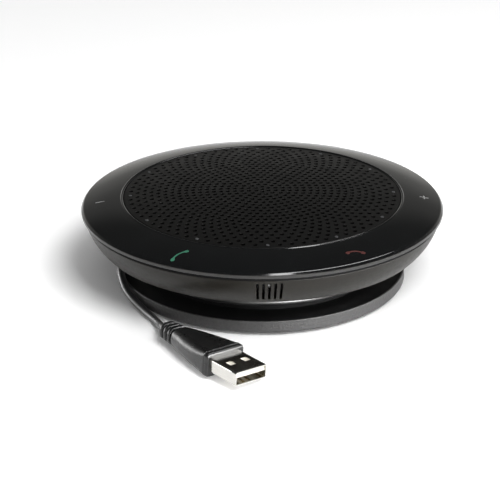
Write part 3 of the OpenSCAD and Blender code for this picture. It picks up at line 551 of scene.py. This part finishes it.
def add_shell():
    """The folded sheet-metal shell, with two windows above and two below."""
    hole_x, hole_l, hole_y, hole_w = SHELL_L * 0.38, 2.4, 2.8, 2.2
    lip_x, lip_slope = SHELL_L - 0.5, 0.28
    corner = 0.7
    flat_y = sorted({-SHELL_W / 2 + corner, SHELL_W / 2 - corner, 0}
                    | {side * hole_y + half * hole_w / 2 for side in (-1, 1) for half in (-1, 1)})
    loop = [(y, SHELL_H / 2, "top") for y in flat_y]
    bend = 6

    def turn(cy, cz, first):
        return [(cy + corner * cos(radians(first - 90 * k / bend)),
                 cz + corner * sin(radians(first - 90 * k / bend)), "side") for k in range(1, bend)]

    y0, z0 = SHELL_W / 2 - corner, SHELL_H / 2 - corner
    loop += turn(y0, z0, 90) + [(SHELL_W / 2, z0, "side"), (SHELL_W / 2, -z0, "side")]
    loop += turn(y0, -z0, 0) + [(y, -SHELL_H / 2, "low") for y in reversed(flat_y)]
    loop += turn(-y0, -z0, -90) + [(-SHELL_W / 2, -z0, "side"), (-SHELL_W / 2, z0, "side")]
    loop += turn(-y0, z0, 180)
    size = len(loop)
    xs = [0, 1.2, hole_x, hole_x + hole_l, 9.5, lip_x, SHELL_L - 0.15, SHELL_L]
    verts = []
    for layer in (0, SHELL_T):
        for x in xs:
            lip = max(0.0, x - lip_x) * lip_slope
            for y, z, _ in loop:
                normal = Vector((max(abs(y) - y0, 0) * (1 if y > 0 else -1),
                                 max(abs(z) - z0, 0) * (1 if z > 0 else -1)))
                normal = normal.normalized() if normal.length > 1e-6 else Vector((0, 1 if z > 0 else -1))
                inset = layer + lip
                verts.append((GRIP_L + x, y - normal.x * inset, z - normal.y * inset))
    rows = len(xs)
    open_cells = set()
    for i in range(rows - 1):
        for k in range(size):
            m = (k + 1) % size
            (ya, _, side), (yb, _, other) = loop[k], loop[m]
            if xs[i] == hole_x and side == other != "side" and \
                    abs(abs(ya + yb) / 2 - hole_y) < hole_w / 2:
                open_cells.add((i, k))
    faces = []
    half = rows * size
    for i in range(rows - 1):
        for k in range(size):
            if (i, k) in open_cells:
                continue
            m = (k + 1) % size
            quad = (i * size + k, i * size + m, (i + 1) * size + m, (i + 1) * size + k)
            faces.append(quad)
            faces.append(tuple(half + v for v in reversed(quad)))
    for i, k in open_cells:
        m = (k + 1) % size
        a, b, c, d = i * size + k, i * size + m, (i + 1) * size + m, (i + 1) * size + k
        for p, q, cell in ((a, b, (i - 1, k)), (b, c, (i, m)), (c, d, (i + 1, k)),
                           (d, a, (i, (k - 1) % size))):
            if cell not in open_cells:
                faces.append((p, q, half + q, half + p))
    for k in range(size):
        m = (k + 1) % size
        faces.append((k, m, half + m, half + k))
        last = (rows - 1) * size
        faces.append((last + k, last + m, half + last + m, half + last + k))
    piece = build("plug_metal", at_plug(verts), faces, 40)
    finish(piece, "plug_nickel")
    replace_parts(piece, "plug_shell")
    return piece


grip, shell = add_grip(), add_shell()


# ---------------------------------------------------------------- touch ring
ring_low, ring_high = cad("touch_ring")
# Just inside the CAD ring, so that the rounded edge stays in its box
RING_R, RING_FOOT_Z, RING_TOP_Z = ring_high.x - 0.02, ring_low.z, ring_high.z
BEVEL = (RING_R - 0.7, RING_FOOT_Z + 2.15)
RING_IN_R = 46.05
RING_HOLLOW_R = 57.4
CROWN_R = 70
CROWN = arc_between(BEVEL, (RING_IN_R, RING_TOP_Z), CROWN_R, 24)


def crown_z(radius):
    """Height of the ring's top face."""
    for (r0, z0), (r1, z1) in zip(CROWN, CROWN[1:]):
        if r1 <= radius <= r0:
            return z0 + (z1 - z0) * (r0 - radius) / (r0 - r1)
    return RING_TOP_Z


def add_ring():
    """The lens: an undercut foot, an upright edge, a bevel, the crowned top and a bead at its bore."""
    bead_r = RING_IN_R + 0.95
    profile = rounded(
        [(RING_HOLLOW_R, RING_FOOT_Z), (RING_HOLLOW_R + 1.5, RING_FOOT_Z),
         (RING_R - 0.1, RING_FOOT_Z + 0.38, 0.05), (RING_R, RING_FOOT_Z + 0.48, 0.06),
         (RING_R, RING_FOOT_Z + 1.3, 0.5), (*BEVEL, 0.95)]
        + [p for p in CROWN[1:-1] if bead_r + 0.3 < p[0] < BEVEL[0] - 0.6]
        + [(bead_r, crown_z(bead_r), 0.1), (RING_IN_R + 0.62, RING_TOP_Z + 0.2, 0.3),
           (RING_IN_R, RING_TOP_Z - 0.1, 0.4), (RING_IN_R, RING_TOP_Z - 1.6),
           (RING_HOLLOW_R, RING_FOOT_Z + 0.9)], 6)
    return finish(lathe("ring_lens", profile), "gloss_black")


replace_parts(add_ring(), "touch_ring")


# ---------------------------------------------------------------- key symbols
def symbol(name, look, angle, radius, strokes):
    """A thin printed symbol in the ring's top face, angle to the right of the front. A stroke is a
    list of (across, outward, half width)."""
    lift, depth = 0.012, 0.05
    verts, faces = [], []
    for stroke in strokes:
        route = [Vector(p[:2]) for p in stroke]
        rows = []
        for i, point in enumerate(route):
            way = (route[min(i + 1, len(route) - 1)] - route[max(i - 1, 0)]).normalized()
            side = Vector((-way.y, way.x)) * stroke[i][2]
            rows.append([point + side * s for s in (-1, -0.5, 0, 0.5, 1)])
        width = len(rows[0])
        base = len(verts)
        for layer in (lift, -depth):
            for row in rows:
                for x, out in row:
                    r = radius + out
                    turn = angle + x / radius
                    z = crown_z(r) + layer
                    verts.append((r * sin(turn), -r * cos(turn), z))
        count = len(rows) * width
        for i in range(len(rows) - 1):
            for k in range(width - 1):
                at = i * width + k
                quad = (at, at + 1, at + width + 1, at + width)
                faces.append(tuple(base + v for v in quad))
                faces.append(tuple(base + count + v for v in reversed(quad)))
        rim = ([i * width for i in range(len(rows))]
               + [(len(rows) - 1) * width + k for k in range(1, width)]
               + [i * width + width - 1 for i in range(len(rows) - 2, -1, -1)]
               + list(range(width - 2, 0, -1)))
        for a, b in zip(rim, rim[1:] + rim[:1]):
            faces.append((base + a, base + b, base + count + b, base + count + a))
    piece = build(name, verts, faces)
    piece.modifiers.clear()
    return finish(piece, "white_plastic", look)


def handset(length, tilt):
    """A telephone handset seen from its side: a bowed bar with a thicker piece at each end."""
    stroke = []
    steps, bow, bar_half, end_share, end_half = 28, 1.2, 0.30, 0.38, 0.32
    for i in range(steps + 1):
        t = 2 * i / steps - 1
        end = max(0.0, (abs(t) - (1 - end_share)) / end_share)
        half = bar_half + end_half * sin(pi / 2 * min(end * 2.6, 1)) * sqrt(max(1 - end ** 6, 0.02))
        x, y = t * length / 2, -bow * (1 - t * t) + 0.1 * end
        stroke.append((x * cos(tilt) - y * sin(tilt), x * sin(tilt) + y * cos(tilt), half))
    return [stroke]


def bar(tilt):
    """A straight bar that narrows at its ends."""
    length, half = 3.0, 0.24
    return [(t * length / 2 * cos(tilt), t * length / 2 * sin(tilt),
             half if abs(t) < 1 else half * 0.6) for t in (-1, -0.92, -0.4, 0, 0.4, 0.92, 1)]


SYMBOL_LOOKS = {
    "symbol_green": dict(color=(0.04, 0.17, 0.105), rough=0.35),
    "symbol_red": dict(color=(0.085, 0.021, 0.018), rough=0.35),
    "symbol_grey": dict(color=(0.30, 0.30, 0.30), rough=0.35),
}
for look, values in SYMBOL_LOOKS.items():
    MATERIALS[look] = material(look, vary=0.05, **values)
SIDE_KEYS, SIDE_KEY_R = radians(87.5), 53.8
CALL_KEYS = radians(29.5)
symbol("symbol_answer", "symbol_green", -CALL_KEYS, 54.9, handset(6.8, -CALL_KEYS - radians(40)))
symbol("symbol_hang_up", "symbol_red", CALL_KEYS, 55.1, handset(6.0, CALL_KEYS - radians(9)))
symbol("symbol_quieter", "symbol_grey", -SIDE_KEYS, SIDE_KEY_R, [bar(-SIDE_KEYS)])
symbol("symbol_louder", "symbol_grey", SIDE_KEYS, SIDE_KEY_R,
       [bar(SIDE_KEYS), bar(SIDE_KEYS + pi / 2)])


# ---------------------------------------------------------------- speaker grille
grille_low, grille_high = cad("speaker_grille")
GRILLE_R, GRILLE_T, GRILLE_TOP_Z = grille_high.x, 0.8, grille_high.z
GRILLE_SKIRT_W, GRILLE_RISE = 1.3, 1.8
DOME_R = (GRILLE_R ** 2 + GRILLE_RISE ** 2) / (2 * GRILLE_RISE)
# Circles of holes, of which the outer ones hold no more than CIRCLE_MAX
HOLE_D, HOLE_PITCH, HOLE_CIRCLES, CIRCLE_MAX = 1.42, 2.3, 19, 72
HOLE_SIDES, HOLE_CHAMFER = 16, 0.1


def on_dome(p, depth=0.0):
    """A flat point carried up onto the dome, depth below its outer face."""
    r = hypot(p[0], p[1])
    z = sqrt(DOME_R ** 2 - r * r)
    share = (DOME_R - depth) / DOME_R
    return (p[0] * share, p[1] * share, GRILLE_TOP_Z - DOME_R + z * share)


def hole_centres():
    """The middle hole, then circle by circle, every other circle turned by half a step."""
    yield (0.0, 0.0)
    for k in range(1, HOLE_CIRCLES + 1):
        count = min(6 * k, CIRCLE_MAX)
        lead = ((HOLE_CIRCLES - k) % 2) / 2
        for i in range(count):
            angle = -pi / 2 + 2 * pi * (i + lead) / count
            yield (k * HOLE_PITCH * cos(angle), k * HOLE_PITCH * sin(angle))


def circle(centre, radius, sides):
    """The corners of a regular outline about a flat point."""
    return [(centre[0] + radius * cos(2 * pi * i / sides),
             centre[1] + radius * sin(2 * pi * i / sides)) for i in range(sides)]


def add_grille():
    """The pierced dome, and its rounded edge with the skirt below it."""
    skirt_in = GRILLE_R - GRILLE_SKIRT_W
    sides = 288
    centres = list(hole_centres())
    outline = circle((0, 0), skirt_in, sides)
    holes = [circle(c, HOLE_D / 2 + HOLE_CHAMFER, HOLE_SIDES) for c in centres]
    sunk = [circle(c, HOLE_D / 2, HOLE_SIDES) for c in centres]
    verts, faces, rim, low_rim = pierced(
        outline, [], holes, sunk, on_dome,
        lambda p, depth: on_dome(p, GRILLE_T if depth is None else depth), HOLE_CHAMFER)
    edge_z = GRILLE_TOP_Z - GRILLE_RISE
    shoulder = rounded([(skirt_in, on_dome((skirt_in, 0))[2]), (GRILLE_R, edge_z, 0.3),
                        (GRILLE_R, grille_low.z), (skirt_in, grille_low.z)], 5)
    rows = [rim]
    for r, z in shoulder[1:]:
        rows.append(list(range(len(verts), len(verts) + sides)))
        verts += [(x, y, z) for x, y in circle((0, 0), r, sides)]
    rows.append(low_rim)
    for upper, lower in zip(rows, rows[1:]):
        for i in range(sides):
            k = (i + 1) % sides
            faces.append((upper[i], upper[k], lower[k], lower[i]))
    return finish(build("grille_dome", verts, faces, 40), "grille_black")


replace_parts(add_grille(), "speaker_grille")


# ---------------------------------------------------------------- casing
casing_low, casing_high = cad("lower_casing")
# The dark seam under the ring, the bowl below it, and how far its underside rises to the neck
SEAM_H, BOWL_H, BOWL_TAPER, UNDER_RISE = 0.8, 9.4, 5.5, 1.8
BOWL_R, SEAM_Z = casing_high.x, RING_FOOT_Z - SEAM_H
BOWL_LOW_R, BOWL_Z = BOWL_R - BOWL_TAPER, SEAM_Z - BOWL_H
UNDER_Z, NECK_R = BOWL_Z + UNDER_RISE, 38.2
BORE_R, SPIGOT_R, UNDER_T = 35, 36.6, 1.8
BOWL_CURVE_R, BOWL_WALL, BOWL_ROWS = 20, 2, 14
SLOT_COUNT, SLOT_W, SLOT_PITCH, SLOT_H, SLOT_FOOT, SLOT_CHAMFER = 5, 0.8, 1.8, 7.0, 1.5, 0.1
BOWL_OUT = arc_between((BOWL_LOW_R, BOWL_Z), (BOWL_R, SEAM_Z), BOWL_CURVE_R, 40)
BOWL_IN = arc_between((BOWL_LOW_R - BOWL_WALL, BOWL_Z + 1.9), (BOWL_R - BOWL_WALL, SEAM_Z),
                      BOWL_CURVE_R - BOWL_WALL, 40)


def radius_at(line, z):
    """Radius of a wall's line at a height."""
    for (r0, z0), (r1, z1) in zip(line, line[1:]):
        if z0 <= z <= z1:
            return r0 + (r1 - r0) * (z - z0) / (z1 - z0)
    return line[0][0] if z < line[0][1] else line[-1][0]


def add_casing():
    """The bowl, turned about Z, with the slots cut through a sector of its wall at the front."""
    z_low, z_high = BOWL_Z + 0.6, SEAM_Z - 0.6
    floor_z = BOWL_Z + 2.1
    levels = [z_low + (z_high - z_low) * i / BOWL_ROWS for i in range(BOWL_ROWS + 1)]
    outer = [(radius_at(BOWL_OUT, z), z) for z in levels]
    # The inner wall starts at the floor, where its lowest levels are spread a little
    inner = [(max(radius_at(BOWL_IN, z), BOWL_LOW_R - BOWL_WALL + 0.01 * i), max(z, floor_z + 0.05 * i))
             for i, z in enumerate(levels)]
    upper = rounded([outer[-1], (BOWL_R, SEAM_Z, 0.12), (BOWL_R - BOWL_WALL, SEAM_Z, 0.1),
                     inner[-1]], 4)
    lower = rounded([inner[0], (BOWL_LOW_R - 3.2, floor_z), (BORE_R + 1, UNDER_Z + UNDER_T),
                     (BORE_R, UNDER_Z + UNDER_T), (BORE_R, casing_low.z),
                     (SPIGOT_R, casing_low.z, 0.2), (SPIGOT_R, UNDER_Z), (NECK_R, UNDER_Z),
                     (BOWL_LOW_R, BOWL_Z, 0.2), outer[0]], 5)
    sector = 12
    step = 2 * pi / SEGMENTS
    front = -pi / 2
    start, sweep = front + sector / 2 * step, 2 * pi - sector * step
    around_wall = around_z(outer, SEGMENTS - sector, False, start, sweep)
    inside_wall = around_z(inner, SEGMENTS - sector, False, start, sweep)
    top_band = around_z(upper, SEGMENTS, False, front)
    low_band = around_z(lower, SEGMENTS, False, front)
    mean_r = (BOWL_R + BOWL_LOW_R) / 2
    right = sector / 2 * step * mean_r
    left = -right
    columns = [left + (right - left) * i / sector for i in range(sector + 1)]
    outline = ([(x, levels[0]) for x in columns] + [(right, z) for z in levels[1:-1]]
               + [(x, levels[-1]) for x in reversed(columns)]
               + [(left, z) for z in reversed(levels[1:-1])])

    def half_circle(x, z, half, first):
        turns = [radians(first + 30 * k) for k in range(7)]
        return [(x + half * cos(turn), z + half * sin(turn)) for turn in turns]

    def stadium(x, half):
        """A slot's outline, from its upper end round to its right side."""
        return (half_circle(x, high, half, 0)
                + [(x - half, high + (low - high) * k / 8) for k in range(1, 8)]
                + half_circle(x, low, half, 180)
                + [(x + half, low + (high - low) * k / 8) for k in range(1, 8)])

    low = BOWL_Z + SLOT_FOOT + SLOT_W / 2
    high = low + SLOT_H - SLOT_W
    centres = [(i - (SLOT_COUNT - 1) / 2) * SLOT_PITCH for i in range(SLOT_COUNT)]
    holes = [stadium(x, SLOT_W / 2 + SLOT_CHAMFER) for x in centres]
    sunk = [stadium(x, SLOT_W / 2) for x in centres]
    reach = SLOT_W / 2 + SLOT_CHAMFER + 0.2
    fill = [(x, z) for x in columns[1:-1] for z in levels[1:-1]
            if not any(abs(x - c) < reach and low - reach < z < high + reach for c in centres)]

    def place(p, depth=0.0):
        """A flat point carried onto the wall, depth below its outer face, or to the inner face."""
        share = (p[1] - levels[0]) / (levels[-1] - levels[0]) * BOWL_ROWS
        i = min(int(share), BOWL_ROWS - 1)
        t = share - i
        r_out, z_out = along(outer[i], outer[i + 1], t)
        r_in, z_in = along(inner[i], inner[i + 1], t)
        across = 1.0 if depth is None else depth / hypot(r_out - r_in, z_out - z_in)
        r, z = r_out + (r_in - r_out) * across, z_out + (z_in - z_out) * across
        angle = front + p[0] / mean_r
        return (r * cos(angle), r * sin(angle), z)

    verts, faces, _, _ = pierced(outline, fill, holes, sunk, place, place, SLOT_CHAMFER)
    verts, faces = join([(verts, faces), around_wall, inside_wall, top_band, low_band])
    return finish(build("casing_bowl", verts, faces, 32, weld=0.004), "casing_satin")


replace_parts(add_casing(), "lower_casing")


# ---------------------------------------------------------------- base
base_low, base_high = cad("base_plate")


def add_base():
    """The plate with its raised rim, a shelf inside the rim and a well in the middle."""
    radius, low, high = base_high.x, base_low.z, base_high.z
    axis_r, foot_bevel, rim_w, plate_t, well_r = 0.01, 0.5, 0.6, 1.8, 38.5
    shelf = high - 1.4
    profile = rounded(
        [(axis_r, low), (radius - foot_bevel, low, 0.2), (radius, low + foot_bevel, 0.25),
         (radius, high, 0.22), (radius - rim_w, high, 0.15), (radius - rim_w, shelf),
         (well_r, shelf), (well_r, low + plate_t), (axis_r, low + plate_t)], 5)
    return finish(lathe("base_rim", profile), "base_grey")


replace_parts(add_base(), "base_plate")


# ---------------------------------------------------------------- studio
# Glow of the floor near the object and far from it, and the distances it rises between. The weaker glow
# near the object is painted shade: a darker floor round the object that deepens its shadow
FLOOR_LIFT = (0.06, 0.38)
LIFT_FROM, LIFT_TO = 50, 95
FLOOR_HALF = 3.0
WORLD_LEVEL = 0.22
# Brightness of the backdrop by the sine of the height above the horizon
BACKDROP_STOPS = ((0.10, 0.60), (0.22, 0.34), (0.36, 0.19), (0.5, 0.05))


def seen_ray(tree):
    """1 for the rays that show a surface straight, in a reflection or through glass."""
    path = add_node(tree, "LightPath")
    out = path.outputs["Is Camera Ray"]
    for name in ("Is Glossy Ray", "Is Transmission Ray"):
        out = add_node(tree, "Math", {0: out, 1: path.outputs[name]}, operation="MAXIMUM").outputs[0]
    return out


def flat_floor():
    """A pale floor that keeps the shadow, and glows to white away from it for the rays that see it. Its
    weaker glow near the object is painted shade round the object.
    """
    data = bpy.data.meshes.new("floor")
    corners = ((-1, -1), (1, -1), (1, 1), (-1, 1))
    data.from_pydata([(x * FLOOR_HALF, y * FLOOR_HALF, 0) for x, y in corners], [], [(0, 1, 2, 3)])
    floor = bpy.data.objects.new("floor", data)
    bpy.context.scene.collection.objects.link(floor)
    made = bpy.data.materials.new("floor")
    made.use_nodes = True
    tree = made.node_tree
    shader = tree.nodes["Principled BSDF"]
    shader.inputs["Base Color"].default_value = (0.9, 0.9, 0.9, 1)
    shader.inputs["Roughness"].default_value = 0.6
    shader.inputs["Specular IOR Level"].default_value = 0.2
    # Painted shade: the glow rises from FLOOR_LIFT[0] near the object to FLOOR_LIFT[1] far out, so the
    # floor round the object stays darker
    lift = add_node(tree, "MapRange", {
        "Value": distance_out(tree), "From Min": LIFT_FROM * MM, "From Max": LIFT_TO * MM,
        "To Min": FLOOR_LIFT[0], "To Max": FLOOR_LIFT[1]}, interpolation_type="SMOOTHSTEP")
    glow = add_node(tree, "Emission", {"Strength": lift.outputs["Result"]})
    none = add_node(tree, "Emission", {"Strength": 0})
    pick = add_node(tree, "MixShader", {"Fac": seen_ray(tree), 1: none.outputs["Emission"],
                                        2: glow.outputs["Emission"]})
    both = add_node(tree, "AddShader", {0: shader.outputs["BSDF"], 1: pick.outputs["Shader"]})
    tree.links.new(both.outputs["Shader"], tree.nodes["Material Output"].inputs["Surface"])
    data.materials.append(made)


def surround():
    """A plain world: even light on the object, and a studio whose backdrop is bright near the horizon."""
    world = bpy.data.worlds.new("studio")
    world.use_nodes = True
    bpy.context.scene.world = world
    tree = world.node_tree
    even = tree.nodes["Background"]
    even.inputs["Color"].default_value = (1, 1, 1, 1)
    even.inputs["Strength"].default_value = WORLD_LEVEL
    place = add_node(tree, "TexCoord").outputs["Generated"]
    split = add_node(tree, "SeparateXYZ", {"Vector": place})
    ramp = add_node(tree, "ValToRGB", {"Fac": split.outputs["Z"]})
    ramp.color_ramp.interpolation = "EASE"
    stops = ramp.color_ramp.elements
    stops[0].position, stops[0].color = 0.0, (0.8, 0.79, 0.76, 1)
    stops[1].position, stops[1].color = 1.0, (0.03, 0.03, 0.033, 1)
    for height, level in BACKDROP_STOPS:
        stop = stops.new(height)
        stop.color = (level, level * 0.985, level * 0.94, 1)
    backdrop = add_node(tree, "Background", {"Color": ramp.outputs["Color"], "Strength": 1.0})
    pick = add_node(tree, "MixShader", {"Fac": seen_ray(tree), 1: even.outputs["Background"],
                                        2: backdrop.outputs["Background"]})
    tree.links.new(pick.outputs["Shader"], tree.nodes["World Output"].inputs["Surface"])


def softbox(name, azimuth, elevation, reach, width, height, power, glossy=True, diffuse=True):
    """An area light that looks at the object. Angles are in degrees, lengths in metres, power in
    watts. glossy and diffuse say whether it is mirrored and whether it lights the matt colour."""
    data = bpy.data.lights.new(name, "AREA")
    data.shape = "RECTANGLE"
    data.size, data.size_y = width, height
    data.energy = power
    lamp = bpy.data.objects.new(name, data)
    offset = way_to(azimuth, elevation) * reach
    lamp.location = Vector((0, 0, 15)) * MM + offset
    lamp.rotation_euler = (-offset).to_track_quat("-Z", "Y").to_euler()
    lamp.visible_diffuse = diffuse
    lamp.visible_glossy = glossy
    bpy.context.scene.collection.objects.link(lamp)
    return lamp


def spare_top(lamp):
    """Keeps a low lamp off the gloss top, which would mirror it when seen from its far side."""
    spared = bpy.data.collections.new(lamp.name + "_spares")
    for name in ("ring_lens", "grille_dome", "symbol_answer", "symbol_hang_up", "symbol_quieter",
                 "symbol_louder"):
        spared.objects.link(bpy.data.objects[name])
    for entry in spared.collection_objects:
        entry.light_linking.link_state = "EXCLUDE"
    lamp.light_linking.receiver_collection = spared


flat_floor()
surround()
softbox("key", 24, 50, reach=0.9, width=0.4, height=0.4, power=8.6, glossy=False)
spare_top(softbox("low_strip", 36, 12, reach=0.7, width=0.8, height=0.17, power=3.6))
spare_top(softbox("low_glint", 54, 11, reach=0.7, width=1.1, height=0.2, power=26, diffuse=False))
softbox("glint", 70, 68, reach=0.9, width=1.3, height=0.16, power=8, diffuse=False)
spare_top(softbox("back_glint", -115, 9, reach=0.8, width=0.8, height=0.22, power=3.4, diffuse=False))
bpy.context.scene.view_settings.view_transform = "Standard"
